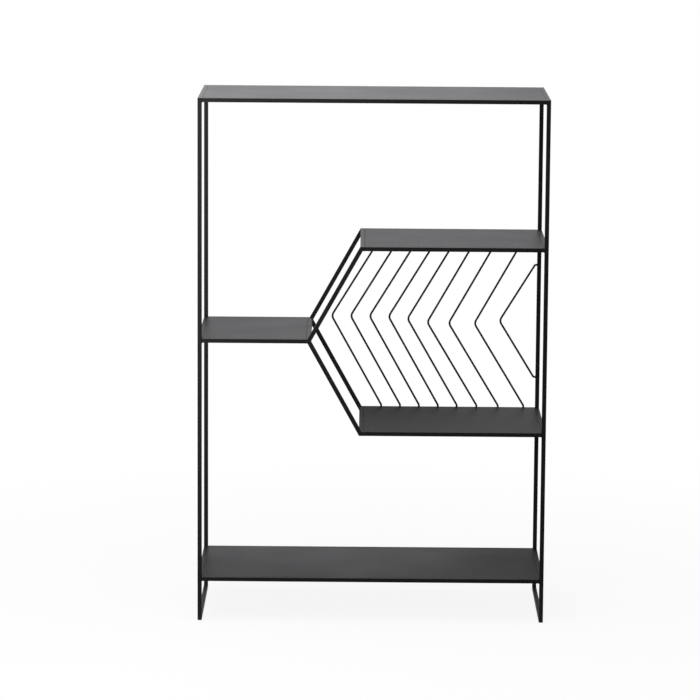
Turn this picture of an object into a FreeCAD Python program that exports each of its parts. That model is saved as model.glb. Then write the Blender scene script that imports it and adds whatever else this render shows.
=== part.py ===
import FreeCAD, Part
import math
import os

# Zigzag bookshelf of coated steel bar, sheet and wire, in millimetres.
# +X is to the right, +Y to the rear and +Z up. The origin is on the floor, in the middle of the footprint.

# Overall sizes
WIDTH = 830.0  # over the outer faces of the side frames
DEPTH = 350.0  # over the front and rear faces of the posts
BAR = 10.0  # side of the square bar
BAR_EDGE = 0.8  # rounding along the edges of the bar

# Heights, each from one shelf's top face to the next
BOTTOM_LEVEL = 106.0  # from the floor to the bottom shelf
BOTTOM_BAY = 357.0  # from the bottom shelf to the lower right shelf
ZIGZAG_RISE = 222.0  # from the lower right shelf to the left one, and from there to the upper right one
TOP_BAY = 350.0  # from the upper right shelf to the top shelf

# Zigzag between the left shelf and the right shelves
LEFT_REACH = 258.0  # from the left frame's outer face to the tip of the zigzag
ZIGZAG_RUN = 124.0  # sideways run of one leg of the zigzag over one rise

# Shelf panels, each a sheet folded down along its front and rear edges
SHEET = 1.5  # thickness
FOLD_RADIUS = 0.5  # inner radius of the fold
FLANGE = 8.0  # height of the folded edge
PANEL_GAP = 1.0  # clearance between either end of a panel and the crossbar there

# Chevron wires in the plane of the rear posts
WIRE = 5.0  # diameter
WIRE_FLATS = 16  # narrow flats that make up the round section
FIRST_STEP = 51.0  # from the zigzag's tip to the tip of the first wire
STEP_SHARES = (1.0, 1.0, 1.0, 1.0, 1.04, 1.13, 1.35)  # each further step, as a share of a close one
TIP_RISES = (10.0, 10.0, 9.5, 8.5, 3.5, -5.0, -7.0, -7.0)  # how far each tip is above the zigzag's tip
LAST_LEG_GAP = 29.0  # from the straight end of the last of these wires to the right rear post
END_GAP = 91.0  # from the tip of the end wire to the right rear post that it turns into
END_RISE = 140.0  # from that tip up, and down, to where the end wire meets the post
WIRE_LEG = 5.0  # length of the straight ends, up to the corner of the bend
WIRE_TIP_RADIUS = 15.0  # bend at the tip of the chevron, on the wire's centre line
WIRE_LEG_RADIUS = 5.0  # bend where the slope turns into a straight end

# Shelf heights that follow from the bays
lower_level = BOTTOM_LEVEL + BOTTOM_BAY
left_level = lower_level + ZIGZAG_RISE
upper_level = left_level + ZIGZAG_RISE
top_level = upper_level + TOP_BAY

# Planes of the side frames and of the front and rear rows of bars
outer_x = WIDTH / 2
post_x = outer_x - BAR / 2
inner_x = outer_x - BAR
outer_y = DEPTH / 2
row_y = outer_y - BAR / 2
inner_y = outer_y - BAR

# Lines of the zigzag, seen from the front
slope = ZIGZAG_RUN / ZIGZAG_RISE
strut_half = BAR / 2 * math.hypot(1, slope)
tip_outer_x = LEFT_REACH - outer_x
tip_x = tip_outer_x + strut_half
tip_z = left_level - BAR / 2
strut_height = ZIGZAG_RISE + BAR / 2
corner_x = tip_outer_x + slope * strut_height

# Heights of the faces that the wires stand on, and the end wire's tip
wire_foot_z = lower_level
wire_head_z = upper_level - BAR
end_tip_x = inner_x - END_GAP

UP = FreeCAD.Vector(0, 0, 1)
REARWARD = FreeCAD.Vector(0, 1, 0)


def bar_section():
    """Section of the bar in the XY plane: a square with rounded corners, centred on the origin."""
    half = BAR / 2
    flat = half - BAR_EDGE
    bulge = flat + BAR_EDGE * math.sqrt(0.5)
    edges = []
    for quarter in range(4):
        turn = FreeCAD.Rotation(UP, 90 * quarter)
        side_start = turn.multVec(FreeCAD.Vector(half, -flat, 0))
        side_end = turn.multVec(FreeCAD.Vector(half, flat, 0))
        corner_middle = turn.multVec(FreeCAD.Vector(bulge, bulge, 0))
        corner_end = turn.multVec(FreeCAD.Vector(flat, half, 0))
        edges.append(Part.LineSegment(side_start, side_end).toShape())
        edges.append(Part.Arc(side_end, corner_middle, corner_end).toShape())
    return Part.Face(Part.Wire(edges))


def bar(start, end):
    """Length of bar whose centre line runs from start to end, cut square at both."""
    run = end - start
    section = bar_section()
    section.Placement = FreeCAD.Placement(start, FreeCAD.Rotation(UP, run))
    return section.extrude(run)


def front_outline(points):
    """Prism through the whole depth, from the (x, z) corners of its outline seen from the front."""
    corners = [FreeCAD.Vector(x, -outer_y, z) for x, z in points]
    outline = Part.makePolygon(corners + corners[:1])
    return Part.Face(outline).extrude(REARWARD * DEPTH)


def post(x, y):
    """Upright of a side frame, from the floor to the top."""
    return bar(FreeCAD.Vector(x, y, 0), FreeCAD.Vector(x, y, top_level))


def crossbar(x, level):
    """Bar from front to rear, between the two rows of uprights or struts, with its top at a level."""
    z = level - BAR / 2
    return bar(FreeCAD.Vector(x, -inner_y, z), FreeCAD.Vector(x, inner_y, z))


def strut(y, side):
    """Leg of the zigzag above (side 1) or below (side -1) its tip, with both ends cut level."""

    def on_centre_line(height):
        return FreeCAD.Vector(tip_x + slope * height, y, tip_z + side * height)

    blank = bar(on_centre_line(-BAR), on_centre_line(strut_height + BAR))
    end_z = tip_z + side * strut_height
    between_cuts = [(-outer_x, tip_z), (outer_x, tip_z), (outer_x, end_z), (-outer_x, end_z)]
    return blank.common(front_outline(between_cuts))


def full_rail(y, level):
    """Front or rear edge of a shelf that runs from one side frame to the other."""
    z = level - BAR / 2
    return bar(FreeCAD.Vector(-inner_x, y, z), FreeCAD.Vector(inner_x, y, z))


def left_rail(y):
    """Front or rear edge of the left shelf, notched at its right end to sit round the zigzag's tip."""
    rail = bar(FreeCAD.Vector(-inner_x, y, tip_z), FreeCAD.Vector(tip_x, y, tip_z))
    notch_x = tip_outer_x + slope * BAR / 2
    outline = [(-inner_x, left_level), (notch_x, left_level), (tip_outer_x, tip_z),
               (notch_x, left_level - BAR), (-inner_x, left_level - BAR)]
    return rail.common(front_outline(outline))


def right_rail(y, level):
    """Front or rear edge of a right shelf, cut at its left end to the strut's slanted face."""
    z = level - BAR / 2
    rail = bar(FreeCAD.Vector(tip_x, y, z), FreeCAD.Vector(inner_x, y, z))

    def strut_face_x(height):
        return tip_x + strut_half + slope * abs(height - tip_z)

    outline = [(strut_face_x(level), level), (inner_x, level),
               (inner_x, level - BAR), (strut_face_x(level - BAR), level - BAR)]
    return rail.common(front_outline(outline))


def panel(level, start_x, end_x):
    """Shelf sheet between its rails, flush with their tops and folded down along them.

    The crossbars that it lies between have their faces at start_x and end_x.
    """
    length = end_x - start_x - 2 * PANEL_GAP

    def folded_block(half_depth, top, radius):
        corner = FreeCAD.Vector(start_x + PANEL_GAP, -half_depth, level - FLANGE)
        block = Part.makeBox(length, 2 * half_depth, top - level + FLANGE, corner)
        folds = [edge for edge in block.Edges
                 if edge.BoundBox.XLength > length / 2 and edge.BoundBox.ZMin > level - FLANGE / 2]
        return block.makeFillet(radius, folds)

    outside = folded_block(inner_y, level, FOLD_RADIUS + SHEET)
    return outside.cut(folded_block(inner_y - SHEET, level - SHEET, FOLD_RADIUS))


def wire_section(centre, direction):
    """Outline of the wire's section: a polygon of the circle's area, across the given direction."""
    turn = 2 * math.pi / WIRE_FLATS
    corner_radius = WIRE / 2 * math.sqrt(turn / math.sin(turn))
    corners = [FreeCAD.Vector(corner_radius * math.cos(k * turn), corner_radius * math.sin(k * turn), 0)
               for k in range(WIRE_FLATS)]
    section = Part.makePolygon(corners + corners[:1])
    section.Placement = FreeCAD.Placement(centre, FreeCAD.Rotation(UP, direction))
    return section


def bent_wire(points, radii):
    """Round wire along straight runs between the points, with an arc of the given radius at each corner."""
    edges = []
    start = points[0]
    for before, corner, after, radius in zip(points, points[1:], points[2:], radii):
        to_before = (before - corner).normalize()
        to_after = (after - corner).normalize()
        half_turn = (math.pi - to_before.getAngle(to_after)) / 2
        tangent = radius * math.tan(half_turn)
        arc_start = corner + to_before * tangent
        arc_end = corner + to_after * tangent
        inward = (to_before + to_after).normalize()
        arc_middle = corner + inward * (radius / math.cos(half_turn) - radius)
        edges.append(Part.LineSegment(start, arc_start).toShape())
        edges.append(Part.Arc(arc_start, arc_middle, arc_end).toShape())
        start = arc_end
    edges.append(Part.LineSegment(start, points[-1]).toShape())
    return Part.Wire(edges).makePipeShell([wire_section(points[0], points[1] - points[0])], True, True)


def chevron_tips():
    """X of the tip of each wire between the right shelves, spread over the room that the rails give."""
    first_x = tip_x + FIRST_STEP
    room = inner_x - LAST_LEG_GAP - ZIGZAG_RUN - first_x
    close_step = room / sum(STEP_SHARES)
    return [first_x + close_step * sum(STEP_SHARES[:step]) for step in range(len(STEP_SHARES) + 1)]


def chevron_wire(points):
    """Wire through its upper end, upper turn, tip, lower turn and lower end, each an x and a z."""
    path = [FreeCAD.Vector(x, row_y, z) for x, z in points]
    return bent_wire(path, [WIRE_LEG_RADIUS, WIRE_TIP_RADIUS, WIRE_LEG_RADIUS])


nodes = {}
rows = {"front": -row_y, "rear": row_y}
frames = {
    "left": (-1, {"bottom": BOTTOM_LEVEL, "middle": left_level, "top": top_level}),
    "right": (1, {"bottom": BOTTOM_LEVEL, "lower": lower_level, "upper": upper_level, "top": top_level}),
}

# Side frames: two posts, a runner on the floor and a crossbar at the end of each shelf
for frame_name, (side, shelf_levels) in frames.items():
    for row_name, y in rows.items():
        nodes[f"{frame_name}_{row_name}_post"] = post(side * post_x, y)
    nodes[f"{frame_name}_floor_runner"] = crossbar(side * post_x, BAR)
    for shelf_name, level in shelf_levels.items():
        nodes[f"{frame_name}_{shelf_name}_crossbar"] = crossbar(side * post_x, level)

# Shelves: a front and a rear rail with a panel between them
for row_name, y in rows.items():
    nodes[f"top_shelf_{row_name}_rail"] = full_rail(y, top_level)
    nodes[f"bottom_shelf_{row_name}_rail"] = full_rail(y, BOTTOM_LEVEL)
    nodes[f"left_shelf_{row_name}_rail"] = left_rail(y)
    nodes[f"upper_right_shelf_{row_name}_rail"] = right_rail(y, upper_level)
    nodes[f"lower_right_shelf_{row_name}_rail"] = right_rail(y, lower_level)
nodes["top_shelf_panel"] = panel(top_level, -inner_x, inner_x)
nodes["bottom_shelf_panel"] = panel(BOTTOM_LEVEL, -inner_x, inner_x)
nodes["left_shelf_panel"] = panel(left_level, -inner_x, tip_outer_x)
nodes["upper_right_shelf_panel"] = panel(upper_level, corner_x + BAR, inner_x)
nodes["lower_right_shelf_panel"] = panel(lower_level, corner_x + BAR, inner_x)

# Zigzag: four struts, and a crossbar at its tip and at each of its corners
for row_name, y in rows.items():
    nodes[f"{row_name}_upper_strut"] = strut(y, 1)
    nodes[f"{row_name}_lower_strut"] = strut(y, -1)
nodes["zigzag_tip_crossbar"] = crossbar(tip_outer_x + BAR / 2, left_level)
nodes["upper_corner_crossbar"] = crossbar(corner_x + BAR / 2, upper_level)
nodes["lower_corner_crossbar"] = crossbar(corner_x + BAR / 2, lower_level)

# Chevron wires between the rear rails of the right shelves, numbered from the zigzag, and the end wire
for number, (x, rise) in enumerate(zip(chevron_tips(), TIP_RISES), start=1):
    leg_x = x + ZIGZAG_RUN
    nodes[f"chevron_wire_{number}"] = chevron_wire([
        (leg_x, wire_head_z), (leg_x, wire_head_z - WIRE_LEG), (x, tip_z + rise),
        (leg_x, wire_foot_z + WIRE_LEG), (leg_x, wire_foot_z)])
turn_x = inner_x - WIRE_LEG
nodes["chevron_end_wire"] = chevron_wire([
    (inner_x, tip_z + END_RISE), (turn_x, tip_z + END_RISE), (end_tip_x, tip_z),
    (turn_x, tip_z - END_RISE), (inner_x, tip_z - END_RISE)])

os.makedirs("parts", exist_ok=True)
for name, shape in nodes.items():
    shape.exportStep(f"parts/{name}.step")
print(len(nodes), "pieces,", round(WIDTH), "x", round(DEPTH), "x", round(top_level), "mm")
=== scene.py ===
# %% [markdown]
# # A zigzag bookshelf in satin black steel
#
# The real shelf is one welded unit: square bar for the frames and the zigzag, folded sheet for the five
# shelves, and round wire for the chevrons at the back. All of it is sprayed with the same black powder
# coating. The measured solids come first and are never moved. Everything below gives them their finish, or
# adds what is too fine for them, such as smooth round wire and weld beads.

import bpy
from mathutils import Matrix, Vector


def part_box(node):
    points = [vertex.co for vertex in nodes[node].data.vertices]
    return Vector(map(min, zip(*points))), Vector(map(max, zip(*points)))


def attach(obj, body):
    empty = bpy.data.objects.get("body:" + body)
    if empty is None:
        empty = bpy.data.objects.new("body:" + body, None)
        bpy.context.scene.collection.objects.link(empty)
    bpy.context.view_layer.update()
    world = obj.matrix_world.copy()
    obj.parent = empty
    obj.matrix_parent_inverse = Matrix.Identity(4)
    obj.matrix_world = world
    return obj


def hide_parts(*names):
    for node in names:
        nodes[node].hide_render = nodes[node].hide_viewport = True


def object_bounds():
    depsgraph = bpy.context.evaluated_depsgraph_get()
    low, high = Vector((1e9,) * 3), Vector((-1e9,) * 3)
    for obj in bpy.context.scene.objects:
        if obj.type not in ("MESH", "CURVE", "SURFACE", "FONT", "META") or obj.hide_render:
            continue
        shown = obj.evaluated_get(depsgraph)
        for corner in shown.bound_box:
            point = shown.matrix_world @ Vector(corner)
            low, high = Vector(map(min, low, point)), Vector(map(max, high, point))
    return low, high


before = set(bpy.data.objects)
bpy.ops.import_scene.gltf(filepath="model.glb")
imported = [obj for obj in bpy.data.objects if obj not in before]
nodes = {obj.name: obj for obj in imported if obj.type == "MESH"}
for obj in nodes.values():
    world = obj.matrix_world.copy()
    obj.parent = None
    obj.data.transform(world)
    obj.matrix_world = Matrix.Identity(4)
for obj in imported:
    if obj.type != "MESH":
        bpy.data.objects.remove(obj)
cad_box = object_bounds()
print(len(nodes), "solids, from", [round(x, 3) for x in cad_box[0]], "to", [round(x, 3) for x in cad_box[1]])

# %% [markdown]
# ## Camera
#
# The photograph has almost no perspective: the rear posts stand only a few pixels inside the front ones.
# That is a long lens from far away. The camera could be turned towards a target with a constraint, but a
# place and three angles say exactly the same with nothing left to follow. It looks down by nine degrees,
# just enough to see the top face of the top shelf as a thin strip.

# %% Put up the camera
import math
import bpy
from mathutils import Matrix, Vector

CAMERA_PLACE = Vector((-0.0223, -8.4153, 2.0094))
CAMERA_PAN = math.radians(0.213)
CAMERA_TILT = math.radians(9.297)
CAMERA_ROLL = math.radians(0.398)
LENS = 180.97
SENSOR = 36.0
FARTHEST = 100.0


def camera_turn():
    """Rotation of the camera: level and facing the shelf's rear, then tilted down, panned and rolled."""
    pan = Matrix.Rotation(CAMERA_PAN, 4, "Z")
    tilt = Matrix.Rotation(math.pi / 2 - CAMERA_TILT, 4, "X")
    roll = Matrix.Rotation(CAMERA_ROLL, 4, "Z")
    return pan @ tilt @ roll


scene = bpy.context.scene
camera_data = bpy.data.cameras.new("camera")
camera_data.lens = LENS
camera_data.sensor_width = SENSOR
camera_data.clip_end = FARTHEST
camera = bpy.data.objects.new("camera", camera_data)
camera.matrix_world = Matrix.Translation(CAMERA_PLACE) @ camera_turn()
scene.collection.objects.link(camera)
scene.camera = camera
scene.view_settings.view_transform = "Standard"
print("lens", LENS, "mm,", round(CAMERA_PLACE.length, 2), "m from the shelf's foot")

# %% [markdown]
# ## Shader sums written as Python
#
# Materials are node trees, and a tree of Math nodes is hard to read once it is in code. The class below
# wraps one socket, and adding or multiplying two of these adds the Math node that does it. Any other node
# comes from its one method `node`, which sets the node up and plugs in its sockets.

# %% A socket that can be used in sums


class Socket:
    """A socket of a node tree, or the bare tree to start from."""

    def __init__(self, tree, socket=None):
        self.tree = tree
        self.socket = socket

    def node(self, kind, settings, inputs, output=0):
        """Adds a node, with its settings first and then the values or links of its inputs."""
        made = self.tree.nodes.new(kind)
        for name, value in settings.items():
            setattr(made, name, value)
        for name, value in inputs.items():
            if isinstance(value, Socket):
                self.tree.links.new(value.socket, made.inputs[name])
            else:
                made.inputs[name].default_value = value
        return Socket(self.tree, made.outputs[output] if made.outputs else None)

    def beside(self, output):
        """Another output of the node that this socket belongs to."""
        return Socket(self.tree, self.socket.node.outputs[output])

    def math(self, operation, first, second):
        """Result of a Math node on two values."""
        return self.node("ShaderNodeMath", {"operation": operation}, {0: first, 1: second})

    def __add__(self, other):
        return self.math("ADD", self, other)

    def __sub__(self, other):
        return self.math("SUBTRACT", self, other)

    def __rsub__(self, other):
        return self.math("SUBTRACT", other, self)

    def __mul__(self, other):
        return self.math("MULTIPLY", self, other)

    __radd__ = __add__
    __rmul__ = __mul__

    def maximum(self, other):
        """The larger one of two values."""
        return self.math("MAXIMUM", self, other)

    def ramp(self, start, end):
        """Climbs smoothly from 0 to 1 while this value goes from start to end."""
        limits = {"Value": self, "From Min": start, "From Max": end, "To Min": 0.0, "To Max": 1.0}
        return self.node("ShaderNodeMapRange", {"interpolation_type": "SMOOTHSTEP"}, limits)


print("shader sums:", ", ".join(name for name in vars(Socket) if not name.startswith("_")))

# %% [markdown]
# Colours can't go through Math nodes, which would turn them grey. Three helpers mix colours, brighten one
# and make clouds, and a fourth hands out an empty material.

# %% Helpers for colours, clouds and materials
CLOUD_MIDDLE = 0.5


def mixed(factor, first, second):
    """Colour between two colours."""
    return factor.node("ShaderNodeMix", {"data_type": "RGBA"}, {0: factor, 6: first, 7: second}, 2)


def brightened(colour, amount):
    """Colour times an amount that changes over a surface."""
    return amount.node("ShaderNodeVectorMath", {"operation": "SCALE"}, {0: colour[:3], "Scale": amount})


def noise(place, size, detail=2.0):
    """Soft cloudy value around its middle, with blotches of about the given size in metres."""
    return place.node("ShaderNodeTexNoise", {}, {"Vector": place, "Scale": 1 / size, "Detail": detail})


def new_material(name):
    """Material with an empty tree, and the tree to start from."""
    material = bpy.data.materials.new(name)
    material.use_nodes = True
    material.node_tree.nodes.clear()
    return material, Socket(material.node_tree)


print("helpers for colours, clouds and materials are ready")

# %% [markdown]
# ## Room and floor
#
# The photograph's background is pure white, while the shelf itself is lit at an ordinary level. Turning the
# light up until the background burns out would also wash out the black. Light Path tells rays apart
# instead: the camera sees white, a reflection sees white only behind the shelf, and the light that falls on
# the shelf is dimmer. The side that the camera stands on is dark near the floor, which is why the fronts of
# the bars stay black while the shelf tops, seen at a low angle, mirror the bright wall. Higher up that side
# is bright too, and so the tops are grey and not a black hole when somebody walks round to the back.

# %% Light the room
WHITE = (1.0, 1.0, 1.0, 1.0)
ROOM_LIGHT = 0.28
REAR_GLIMMER = 1.0
FRONT_GLIMMER = 0.01
FRONT_SKY = 0.60
SKY_RISE = (0.14, 0.28)
ROOM_TURN = (-0.3, 0.3)


def light_paths(start):
    """1 for rays that show the background straight or through glass, and 1 for rays of a reflection."""
    camera_ray = start.node("ShaderNodeLightPath", {}, {}, "Is Camera Ray")
    return camera_ray.maximum(camera_ray.beside("Is Transmission Ray")), camera_ray.beside("Is Glossy Ray")


def glimmer(rearward, turn, front):
    """How bright the room looks in a reflection: as given in front of the shelf, and bright behind it."""
    return front + (REAR_GLIMMER - front) * rearward.ramp(*turn)


def light_room():
    """World that is white to the camera, and to a reflection as bright as the room is on that side."""
    world = bpy.data.worlds.new("room")
    world.use_nodes = True
    world.node_tree.nodes.clear()
    start = Socket(world.node_tree)
    straight, mirrored = light_paths(start)
    direction = start.node("ShaderNodeTexCoord", {}, {}, "Generated")
    rearward = start.node("ShaderNodeSeparateXYZ", {}, {0: direction}, "Y")
    front = FRONT_GLIMMER + FRONT_SKY * rearward.beside("Z").ramp(*SKY_RISE)
    lit = ROOM_LIGHT * (1 - straight.maximum(mirrored))
    strength = straight + mirrored * glimmer(rearward, ROOM_TURN, front) + lit
    background = start.node("ShaderNodeBackground", {}, {"Color": WHITE, "Strength": strength})
    start.node("ShaderNodeOutputWorld", {}, {"Surface": background})
    return world


scene.world = light_room()
print("room light", ROOM_LIGHT, "with reflections from", FRONT_GLIMMER, "to", REAR_GLIMMER)

# %% [markdown]
# The floor is a plain white sheet. A shadow needs a surface that light falls on, so near the shelf a share
# of the floor is ordinary matt paint, and the rest glows white. Farther out it is all white, and no edge
# shows.

# %% Lay the floor
FLOOR_HALF = 12.0
FLOOR_PAINT = (0.95, 0.95, 0.95, 1.0)
FLOOR_TURN = (-0.6, 0.6)
SHADOW_SHARE = 0.10
SHADOW_FADE = (0.7, 2.0)


def floor_paint():
    """White that keeps a soft shadow near the shelf."""
    material, start = new_material("floor_paint")
    straight, mirrored = light_paths(start)
    place = start.node("ShaderNodeTexCoord", {}, {}, "Object")
    rearward = start.node("ShaderNodeSeparateXYZ", {}, {0: place}, "Y")
    distance = start.node("ShaderNodeVectorMath", {"operation": "LENGTH"}, {0: place}, "Value")
    matt_share = SHADOW_SHARE * (1 - distance.ramp(*SHADOW_FADE))
    glow_share = straight * (1 - matt_share) + mirrored
    brightness = straight + mirrored * glimmer(rearward, FLOOR_TURN, FRONT_GLIMMER)
    matt = start.node("ShaderNodeBsdfDiffuse", {}, {"Color": FLOOR_PAINT})
    glow = start.node("ShaderNodeEmission", {}, {"Color": brightened(WHITE, brightness), "Strength": 1.0})
    surface = start.node("ShaderNodeMixShader", {}, {0: glow_share, 1: matt, 2: glow})
    start.node("ShaderNodeOutputMaterial", {}, {"Surface": surface})
    return material


def flat_sheet(name, corners, material):
    """One flat four-sided sheet that belongs to the stage."""
    mesh = bpy.data.meshes.new(name)
    mesh.from_pydata(corners, [], [(0, 1, 2, 3)])
    mesh.materials.append(material)
    sheet = bpy.data.objects.new(name, mesh)
    scene.collection.objects.link(sheet)
    return sheet


floor_corners = [(x * FLOOR_HALF, y * FLOOR_HALF, 0) for x, y in ((-1, -1), (1, -1), (1, 1), (-1, 1))]
floor = flat_sheet("floor", floor_corners, floor_paint())
print(floor.name, 2 * FLOOR_HALF, "m wide")

# %% [markdown]
# Behind the shelf stands a card that only reflections see. All five shelves have the same coating, and yet
# the photograph shows a pale one on top and dark ones below, because each of them mirrors another part of
# the wall. A lamp has one brightness all over. A glowing sheet can have a zone for every shelf, and the
# height of a zone follows from the mirror law: a shelf that is seen at the camera's tilt shows what stands
# at the same tilt behind it. Each zone has a glow, and a lean that is added for every metre to the right.

# %% Work out the zones of a reflection card
CARD_Y = 0.65
ZONE_GLOWS = {"bottom": 0.73, "lower_right": 0.09, "left": 0.55, "upper_right": 0.68, "top": 1.03}
ZONE_LEANS = {"bottom": -0.15, "lower_right": 0.75, "left": -0.35, "upper_right": 0.05, "top": -0.45}
CHANGE_START = 0.25
CHANGE_END = 0.70


def mirrored_height(shelf):
    """Height on the card that the middle of a shelf's panel shows to the camera."""
    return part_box(shelf + "_shelf_panel")[1][2] + CARD_Y * math.tan(CAMERA_TILT)


def zoned(height, values):
    """Value that changes smoothly on the way up, from one shelf's to the next one's."""
    shelves = list(values)
    total = values[shelves[0]]
    for lower, upper in zip(shelves, shelves[1:]):
        foot = mirrored_height(lower)
        gap = mirrored_height(upper) - foot
        change = height.ramp(foot + CHANGE_START * gap, foot + CHANGE_END * gap)
        total = total + (values[upper] - values[lower]) * change
    return total


print("zones at", {shelf: round(mirrored_height(shelf), 3) for shelf in ZONE_GLOWS})

# %% [markdown]
# Three small things keep the card from looking like a printed ramp in the reflections. It is dark near the
# floor, where the runners mirror it, it has soft upright patches like any wall, and its lower right is in
# shade.

# %% Stand the reflection card behind the shelf
CARD_HALF = 1.3
CARD_HEIGHT = 2.4
CARD_WHITE = (0.992, 0.988, 1.022, 1.0)
FOOT_GLOW = 0.10
FOOT_RISE = (0.10, 0.17)
SHADE = 0.65
SHADE_ACROSS = (0.05, 0.40)
SHADE_RISE = (0.20, 0.26)
SHADE_FALL = (0.32, 0.40)
PATCH = 0.35
PATCH_STRETCH = (1.0, 1.0, 0.35)
PATCH_CONTRAST = 0.5


def card_glow():
    """Glow with a zone for each shelf, a lean from left to right and soft patches."""
    material, start = new_material("card_glow")
    place = start.node("ShaderNodeTexCoord", {}, {}, "Object")
    across = start.node("ShaderNodeSeparateXYZ", {}, {0: place}, "X")
    height = across.beside("Z")
    shade = SHADE * across.ramp(*SHADE_ACROSS) * (height.ramp(*SHADE_RISE) - height.ramp(*SHADE_FALL))
    even = zoned(height, ZONE_GLOWS) + across * zoned(height, ZONE_LEANS) - shade
    upright = start.node("ShaderNodeMapping", {}, {"Vector": place, "Scale": PATCH_STRETCH})
    patches = 1 + PATCH_CONTRAST * (noise(upright, PATCH) - CLOUD_MIDDLE)
    foot = FOOT_GLOW + (1 - FOOT_GLOW) * height.ramp(*FOOT_RISE)
    colour = brightened(CARD_WHITE, even * patches * foot)
    glow = start.node("ShaderNodeEmission", {}, {"Color": colour, "Strength": 1.0})
    start.node("ShaderNodeOutputMaterial", {}, {"Surface": glow})
    return material


card_corners = [(-CARD_HALF, CARD_Y, 0), (CARD_HALF, CARD_Y, 0),
                (CARD_HALF, CARD_Y, CARD_HEIGHT), (-CARD_HALF, CARD_Y, CARD_HEIGHT)]
card = flat_sheet("reflection_card", card_corners, card_glow())
card.visible_camera = False
card.visible_diffuse = False
card.visible_transmission = False
card.visible_shadow = False
print(card.name, CARD_HEIGHT, "m high at", CARD_Y, "m behind the middle")

# %% [markdown]
# Soft boxes do the rest. An area lamp's power spreads over its size, so the helper asks for how bright the
# lamp looks, where 1 is white paper, and works out the power from that. The photograph is lit from the
# upper left and from close by: the left posts are dark grey and the right ones nearly black.

# %% Hang the soft boxes
LEFT_POSTS = (-0.4, -0.17, 0.8)
SHELF_MIDDLE = (cad_box[0] + cad_box[1]) / 2


def soft_box(name, target, place, size, brightness):
    """Rectangular lamp at a place, facing a target, that looks as bright as given."""
    lamp = bpy.data.lights.new(name, "AREA")
    lamp.shape = "RECTANGLE"
    lamp.size, lamp.size_y = size
    lamp.energy = brightness * math.pi * size[0] * size[1]
    box = bpy.data.objects.new(name, lamp)
    box.location = place
    box.rotation_euler = (Vector(target) - Vector(place)).to_track_quat("-Z", "Y").to_euler()
    box.visible_camera = False
    scene.collection.objects.link(box)


soft_box("window_light", LEFT_POSTS, place=(-0.9, -2.4, 1.0), size=(0.8, 1.6), brightness=1.8)
soft_box("left_light", LEFT_POSTS, place=(-0.9, -1.2, 1.9), size=(0.8, 0.8), brightness=4.4)
soft_box("low_light", LEFT_POSTS, place=(-0.75, -1.1, 0.25), size=(0.35, 0.5), brightness=0.8)
soft_box("top_light", SHELF_MIDDLE, place=(-0.2, -0.2, 3.2), size=(2.4, 2.0), brightness=4.0)

# %% [markdown]
# ## Powder coating
#
# Powder coating is a skin of melted plastic. It is not smooth: it dries with a faint orange peel, it is a
# touch thinner and shinier along sharp edges, and a shelf that stands in a room carries a breath of dust and
# wiped patches on what faces up. Along the edges the colour is also lighter, which is partly that thinner,
# worn coat and partly a painted highlight. One flat colour would look like a drawing, so each of these is a
# small sum below. Edges could be marked by hand with vertex colours. A Bevel node finds them by itself: it
# tells which way a rounded edge would face, and where that differs from the flat face, there is an edge.

# %% Find edges for wear and a painted highlight, and dusty tops
EDGE_ROUND = 0.0014
EDGE_SAMPLES = 4
EDGE_TURN = (0.02, 0.25)
TOP_TURN = (0.5, 0.95)
DUST_LEAST = 0.03
DUST_MOST = 0.12
DUST_DRIFT = (0.35, 0.75)
SPECK_LEAST = 0.4
SPECK_GRAIN = (0.3, 0.7)


def worn_and_highlit_edge(start, facing):
    """1 along sharp edges and 0 on flat faces."""
    rounded = start.node("ShaderNodeBevel", {"samples": EDGE_SAMPLES}, {"Radius": EDGE_ROUND})
    both = {0: facing, 1: rounded}
    sameness = start.node("ShaderNodeVectorMath", {"operation": "DOT_PRODUCT"}, both, "Value")
    return (1 - sameness).ramp(*EDGE_TURN)


def dust_share(start, facing, drift, grain):
    """Thin share of dust on what faces up, in clouds that drift and in specks."""
    upward = start.node("ShaderNodeSeparateXYZ", {}, {0: facing}, "Z").ramp(*TOP_TURN)
    clouds = DUST_LEAST + (DUST_MOST - DUST_LEAST) * drift.ramp(*DUST_DRIFT)
    specks = SPECK_LEAST + (1 - SPECK_LEAST) * grain.ramp(*SPECK_GRAIN)
    return upward * clouds * specks


# The edge mask lightens the colour for wear and for a painted highlight.
print("edges of", EDGE_ROUND, "m are worn, and dust covers up to", DUST_MOST, "of what faces up")

# %% [markdown]
# Bars, panels, wires and welds share one recipe. They differ in how matt they are and in how coarse their
# peel is. The panels also have a slow wave, since thin sheet never stays quite flat once it is welded in.

# %% Mix the coating
COAT_BLACK = (0.0060, 0.0060, 0.0064, 1.0)
# The lighter edge colour below is partly a worn, thinner coat and partly a painted highlight.
COAT_WORN_AND_HIGHLIT = (0.020, 0.020, 0.021, 1.0)
DUST_GREY = (0.115, 0.112, 0.106, 1.0)
COAT_IOR = 1.5
COAT_SHINE = 0.4
DUST_CLOUD = 0.22
WIPED_PATCH = 0.14
SHEET_WAVE = 0.16
GRAINS_PER_PEEL = 4
GRAIN_HEIGHT = 0.3
EDGE_WEAR_AND_HIGHLIGHT = 0.5
EDGE_SHINE = 0.06
PATCH_MATT = 0.10
DUST_MATT = 0.05


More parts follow.
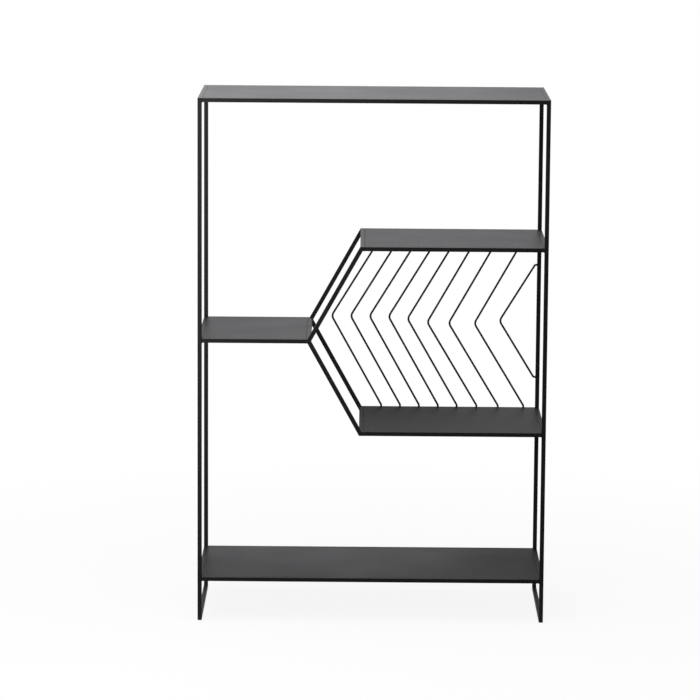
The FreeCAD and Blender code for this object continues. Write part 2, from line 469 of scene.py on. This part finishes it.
def coating(name, matt, peel_size, peel_height, wave_height=0.0):
    """Satin black coating. Matt is its mean roughness, and the size and heights are in metres."""
    material, start = new_material(name)
    place = start.node("ShaderNodeTexCoord", {}, {}, "Object")
    facing = start.node("ShaderNodeNewGeometry", {}, {}, "Normal")
    drift = noise(place, DUST_CLOUD, detail=3.0)
    patch = noise(place, WIPED_PATCH)
    peel = noise(place, peel_size, detail=1.0)
    grain = noise(place, peel_size / GRAINS_PER_PEEL, detail=1.0)
    wave = noise(place, SHEET_WAVE, detail=1.0)
    edge = worn_and_highlit_edge(start, facing)
    # Edges get a lighter colour: partly wear, partly a painted highlight.
    colour = mixed(edge * EDGE_WEAR_AND_HIGHLIGHT, COAT_BLACK, COAT_WORN_AND_HIGHLIT)
    colour = mixed(dust_share(start, facing, drift, grain), colour, DUST_GREY)
    clouded = PATCH_MATT * (patch - CLOUD_MIDDLE) + DUST_MATT * (drift - CLOUD_MIDDLE)
    roughness = matt + clouded - EDGE_SHINE * edge
    height = peel_height * (peel + GRAIN_HEIGHT * grain) + wave_height * wave
    normal = start.node("ShaderNodeBump", {}, {"Strength": 1.0, "Distance": 1.0, "Height": height})
    surface = start.node("ShaderNodeBsdfPrincipled", {}, {
        "Base Color": colour, "Roughness": roughness, "Normal": normal,
        "IOR": COAT_IOR, "Specular IOR Level": COAT_SHINE})
    start.node("ShaderNodeOutputMaterial", {}, {"Surface": surface})
    return material


bar_coating = coating("satin_bar_coating", matt=0.40, peel_size=0.0016, peel_height=6e-6)
panel_coating = coating("satin_panel_coating", matt=0.42, peel_size=0.0014, peel_height=5e-6,
                        wave_height=6e-4)
wire_coating = coating("satin_wire_coating", matt=0.36, peel_size=0.0011, peel_height=4e-6)
weld_coating = coating("rough_weld_coating", matt=0.62, peel_size=0.0017, peel_height=2e-4)
print("coatings:", bar_coating.name, panel_coating.name, wire_coating.name, weld_coating.name)

# %% [markdown]
# The bars and panels are right as they were measured, down to the rounded edges of the bars, and so nothing
# is modelled over them. They keep their meshes and get the coating.

# %% Coat the solids
panels = [name for name in nodes if name.endswith("_panel")]
wires = [name for name in nodes if name.startswith("chevron_")]
for name, solid in nodes.items():
    solid.data.materials.clear()
    solid.data.materials.append(panel_coating if name in panels else bar_coating)
print("coated", len(nodes), "solids, of which", len(panels), "are panels")

# %% [markdown]
# ## Growing pieces on guide lines
#
# Wires and weld beads are the same idea: something round that follows a line. A curve object with a bevel
# would do for one of them. A Geometry Nodes tree does it for all, with its sizes as named inputs that can
# be tried out in the modifier tab before they go into the script. The helpers below make an empty tree,
# close it, draw guide lines, and turn what a tree grows on them into a plain mesh that rides on the shelf.

# %% Helpers for trees that grow pieces


def new_tree(name, sizes):
    """Empty tree that takes a guide mesh and named sizes, each with its kind of socket."""
    tree = bpy.data.node_groups.new(name, "GeometryNodeTree")
    tree.interface.new_socket("Guide", in_out="INPUT", socket_type="NodeSocketGeometry")
    for size_name, kind in sizes.items():
        tree.interface.new_socket(size_name, in_out="INPUT", socket_type=kind)
    tree.interface.new_socket("Piece", in_out="OUTPUT", socket_type="NodeSocketGeometry")
    return Socket(tree)


def close_tree(grown, coat):
    """Makes what a tree has grown smooth, plain and coated, and hands it out."""
    smooth = grown.node("GeometryNodeSetShadeSmooth", {}, {0: grown})
    plain = grown.node("GeometryNodeRealizeInstances", {}, {0: smooth})
    coated = grown.node("GeometryNodeSetMaterial", {}, {0: plain, "Material": coat})
    grown.node("NodeGroupOutput", {}, {0: coated})
    return grown.tree


def guide_mesh(name, lines):
    """Mesh of separate lines, each a list of the points that it runs through."""
    points = []
    edges = []
    for line in lines:
        edges += [(len(points) + k, len(points) + k + 1) for k in range(len(line) - 1)]
        points += line
    guide = bpy.data.meshes.new(name)
    guide.from_pydata(points, edges, [])
    return guide


def grow(name, guide, tree, sizes):
    """Plain mesh that a tree grows on a guide mesh, riding on the shelf."""
    piece = bpy.data.objects.new(name, guide)
    scene.collection.objects.link(piece)
    modifier = piece.modifiers.new("grow", "NODES")
    modifier.node_group = tree
    for item in tree.interface.items_tree:
        if item.name in sizes:
            modifier[item.identifier] = sizes[item.name]
    seen = piece.evaluated_get(bpy.context.evaluated_depsgraph_get())
    grown = bpy.data.meshes.new_from_object(seen)
    piece.modifiers.remove(modifier)
    piece.data = grown
    grown.name = name
    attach(piece, "root")
    return piece


print("helpers for trees are ready")

# %% [markdown]
# ## Chevron wires
#
# Each wire is one round rod, bent cold at its tip and at both ends, and welded between the rails. The
# measured solid has sixteen flats, enough to bump into but not to look at. Five corner points and a bend
# radius at each of them say all there is to know, so the tree fillets the line and sweeps a circle along
# it. The corner points are read off the solid, and so the round wire lies where the solid lies.

# %% A tree that bends round wire
BEND = "bend_radius"


def bent_wire_tree():
    """Round wire along a guide line, each corner bent to the radius that the guide's point carries."""
    sizes = {"Diameter": "NodeSocketFloat", "Sides": "NodeSocketInt", "Bend Steps": "NodeSocketInt"}
    start = new_tree("bent_wire", sizes)
    guide = start.node("NodeGroupInput", {}, {}, "Guide")
    bend = start.node("GeometryNodeInputNamedAttribute", {"data_type": "FLOAT"}, {"Name": BEND}, "Attribute")
    line = start.node("GeometryNodeMeshToCurve", {}, {"Mesh": guide})
    line = start.node("GeometryNodeFilletCurve", {"mode": "POLY"}, {
        "Curve": line, "Count": guide.beside("Bend Steps"), "Radius": bend, "Limit Radius": True})
    ring = start.node("GeometryNodeCurvePrimitiveCircle", {}, {
        "Resolution": guide.beside("Sides"), "Radius": 0.5 * guide.beside("Diameter")})
    wire = start.node("GeometryNodeCurveToMesh", {}, {
        "Curve": line, "Profile Curve": ring, "Fill Caps": True})
    return close_tree(wire, wire_coating)


wire_tree = bent_wire_tree()
print("tree", wire_tree.name, "with", len(wire_tree.nodes), "nodes")

# %% Bend the nine wires
WIRE = 0.005
WIRE_LEG = 0.005
WIRE_RUN = 0.124
END_WIRE_RUN = 0.086
LEG_BEND = 0.005
TIP_BEND = 0.015
WIRE_SIZES = {"Diameter": WIRE, "Sides": 24, "Bend Steps": 12}


def wire_corners(name):
    """Corners of a wire's centre line: upper end, upper bend, tip, lower bend and lower end."""
    low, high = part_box(name)
    y = (low[1] + high[1]) / 2
    tip_z = min((vertex.co.x, vertex.co.z) for vertex in nodes[name].data.vertices)[1]
    if name == "chevron_end_wire":
        end_x, bend_x = high[0], high[0] - WIRE_LEG
        upper_z, lower_z = high[2] - WIRE / 2, low[2] + WIRE / 2
        return [(end_x, y, upper_z), (bend_x, y, upper_z), (bend_x - END_WIRE_RUN, y, tip_z),
                (bend_x, y, lower_z), (end_x, y, lower_z)]
    leg_x = high[0] - WIRE / 2
    return [(leg_x, y, high[2]), (leg_x, y, high[2] - WIRE_LEG), (leg_x - WIRE_RUN, y, tip_z),
            (leg_x, y, low[2] + WIRE_LEG), (leg_x, y, low[2])]


for name in wires:
    guide = guide_mesh(name + "_guide", [wire_corners(name)])
    bends = guide.attributes.new(BEND, "FLOAT", "POINT")
    bends.data.foreach_set("value", [0.0, LEG_BEND, TIP_BEND, LEG_BEND, 0.0])
    wire = grow(name + "_rod", guide, wire_tree, WIRE_SIZES)
    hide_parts(name)
print(len(wires), "wires of", len(wire.data.polygons), "faces each")

# %% [markdown]
# ## Welds
#
# A frame like this is welded from below, where nobody looks. The fronts and tops of the joints are ground
# flush before coating, and so only short beads in the inner corners stay. Modelling a bead ring by ring
# would be slow work; the tree below sweeps a circle along a line and lets noise make it lumpy.

# %% A tree that lays weld beads
LUMPS_PER_METRE = 350.0
BEAD_SIDES = 10


def weld_bead_tree():
    """Lumpy bead along each guide line, with flat ends."""
    start = new_tree("weld_bead", dict.fromkeys(("Width", "Step", "Lump", "Seed"), "NodeSocketFloat"))
    guide = start.node("NodeGroupInput", {}, {}, "Guide")
    line = start.node("GeometryNodeMeshToCurve", {}, {"Mesh": guide})
    line = start.node("GeometryNodeResampleCurve", {"mode": "LENGTH"}, {
        "Curve": line, "Length": guide.beside("Step")})
    place = start.node("GeometryNodeInputPosition", {}, {})
    lumps = start.node("ShaderNodeTexNoise", {"noise_dimensions": "4D"}, {
        "Vector": place, "W": guide.beside("Seed"), "Scale": LUMPS_PER_METRE, "Detail": 1.0})
    width = guide.beside("Width") * (1 + guide.beside("Lump") * (lumps - CLOUD_MIDDLE))
    ring = start.node("GeometryNodeCurvePrimitiveCircle", {}, {"Resolution": BEAD_SIDES, "Radius": 0.5})
    bead = start.node("GeometryNodeCurveToMesh", {}, {
        "Curve": line, "Profile Curve": ring, "Scale": width, "Fill Caps": True})
    return close_tree(bead, weld_coating)


weld_tree = weld_bead_tree()
print("tree", weld_tree.name, "with", len(weld_tree.nodes), "nodes")

# %% [markdown]
# A panel stops one millimetre short of the crossbar at either end, and a rougher seam closes that slot from
# below. From the front it shows as the thin dark line across each end of a shelf. Along the rails a short
# stitch every so often is enough to hold the sheet.

# %% Weld the panels in
SEAM = {"Width": 0.0020, "Step": 0.0015, "Lump": 0.4, "Seed": 3.0}
SEAM_DEPTH = 0.0007
SLOT = 0.001
STITCH = {"Width": 0.0026, "Step": 0.0010, "Lump": 0.5, "Seed": 7.0}
STITCH_LENGTH = 0.015
STITCH_PITCH = 0.16


def end_seams(name):
    """Line under the slot at either end of a panel."""
    low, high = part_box(name)
    z = high[2] - SEAM_DEPTH - SEAM["Width"] / 2
    return [[(x, low[1], z), (x, high[1], z)] for x in (low[0] - SLOT / 2, high[0] + SLOT / 2)]


def stitches(name):
    """Short lines under a panel's folded edges, where these lie against the rails."""
    low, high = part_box(name)
    count = round((high[0] - low[0]) / STITCH_PITCH)
    pitch = (high[0] - low[0]) / count
    half = STITCH_LENGTH / 2
    middles = [low[0] + pitch * (k + 0.5) for k in range(count)]
    return [[(x - half, y, low[2]), (x + half, y, low[2])] for x in middles for y in (low[1], high[1])]


seam_guide = guide_mesh("seam_guide", [line for name in panels for line in end_seams(name)])
seams = grow("panel_end_seams", seam_guide, weld_tree, SEAM)
stitch_guide = guide_mesh("stitch_guide", [line for name in panels for line in stitches(name)])
stitch_welds = grow("panel_stitch_welds", stitch_guide, weld_tree, STITCH)
print(len(seams.data.polygons), "faces of seam,", len(stitch_welds.data.polygons), "of stitches")

# %% [markdown]
# The frame has a bead below each end of a bar that meets another, or above it for the runners on the floor.
# The wires are welded all round, so their guide lines are rings.

# %% Weld the frame and the wires
FRAME_BEAD = {"Width": 0.0026, "Step": 0.0010, "Lump": 0.5, "Seed": 11.0}
FOOT_BEAD = {"Width": 0.0018, "Step": 0.0008, "Lump": 0.4, "Seed": 17.0}
CORNER_INSET = 0.001
TOUCHING = 0.001
RING_STEPS = 16


def crossbar_welds(name):
    """Line across either end of a crossbar, below it, or above it for a runner that lies on the floor."""
    low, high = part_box(name)
    z = high[2] if name.endswith("_runner") else low[2]
    return [[(low[0] + CORNER_INSET, y, z), (high[0] - CORNER_INSET, y, z)] for y in (low[1], high[1])]


def rail_welds(name):
    """Line below each end of a rail that meets a post."""
    low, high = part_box(name)
    inner_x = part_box("right_front_post")[0][0]
    ends = [x for x in (low[0], high[0]) if abs(abs(x) - inner_x) < TOUCHING]
    return [[(x, low[1] + CORNER_INSET, low[2]), (x, high[1] - CORNER_INSET, low[2])] for x in ends]


def wire_welds(name):
    """Ring round either end of a wire."""
    corners = wire_corners(name)
    angles = [2 * math.pi * k / RING_STEPS for k in range(RING_STEPS + 1)]
    circle = [Vector((WIRE / 2 * math.cos(angle), WIRE / 2 * math.sin(angle), 0)) for angle in angles]
    rings = []
    for end, bend in ((corners[0], corners[1]), (corners[-1], corners[-2])):
        turn = (Vector(bend) - Vector(end)).to_track_quat("Z", "Y")
        rings.append([Vector(end) + turn @ point for point in circle])
    return rings


crossbars = [name for name in nodes if name.endswith(("_crossbar", "_runner"))]
rails = [name for name in nodes if name.endswith("_rail")]
frame_lines = [line for name in crossbars for line in crossbar_welds(name)]
frame_lines += [line for name in rails for line in rail_welds(name)]
frame_welds = grow("frame_welds", guide_mesh("frame_weld_guide", frame_lines), weld_tree,
                   FRAME_BEAD)
ring_lines = [line for name in wires for line in wire_welds(name)]
foot_welds = grow("wire_foot_welds", guide_mesh("foot_weld_guide", ring_lines), weld_tree,
                  FOOT_BEAD)
print(len(frame_lines), "lines in", frame_welds.name, "and", len(ring_lines), "rings in", foot_welds.name)

# %% [markdown]
# ## Size
#
# The box of the measured solids was printed as cad_box when they were loaded.
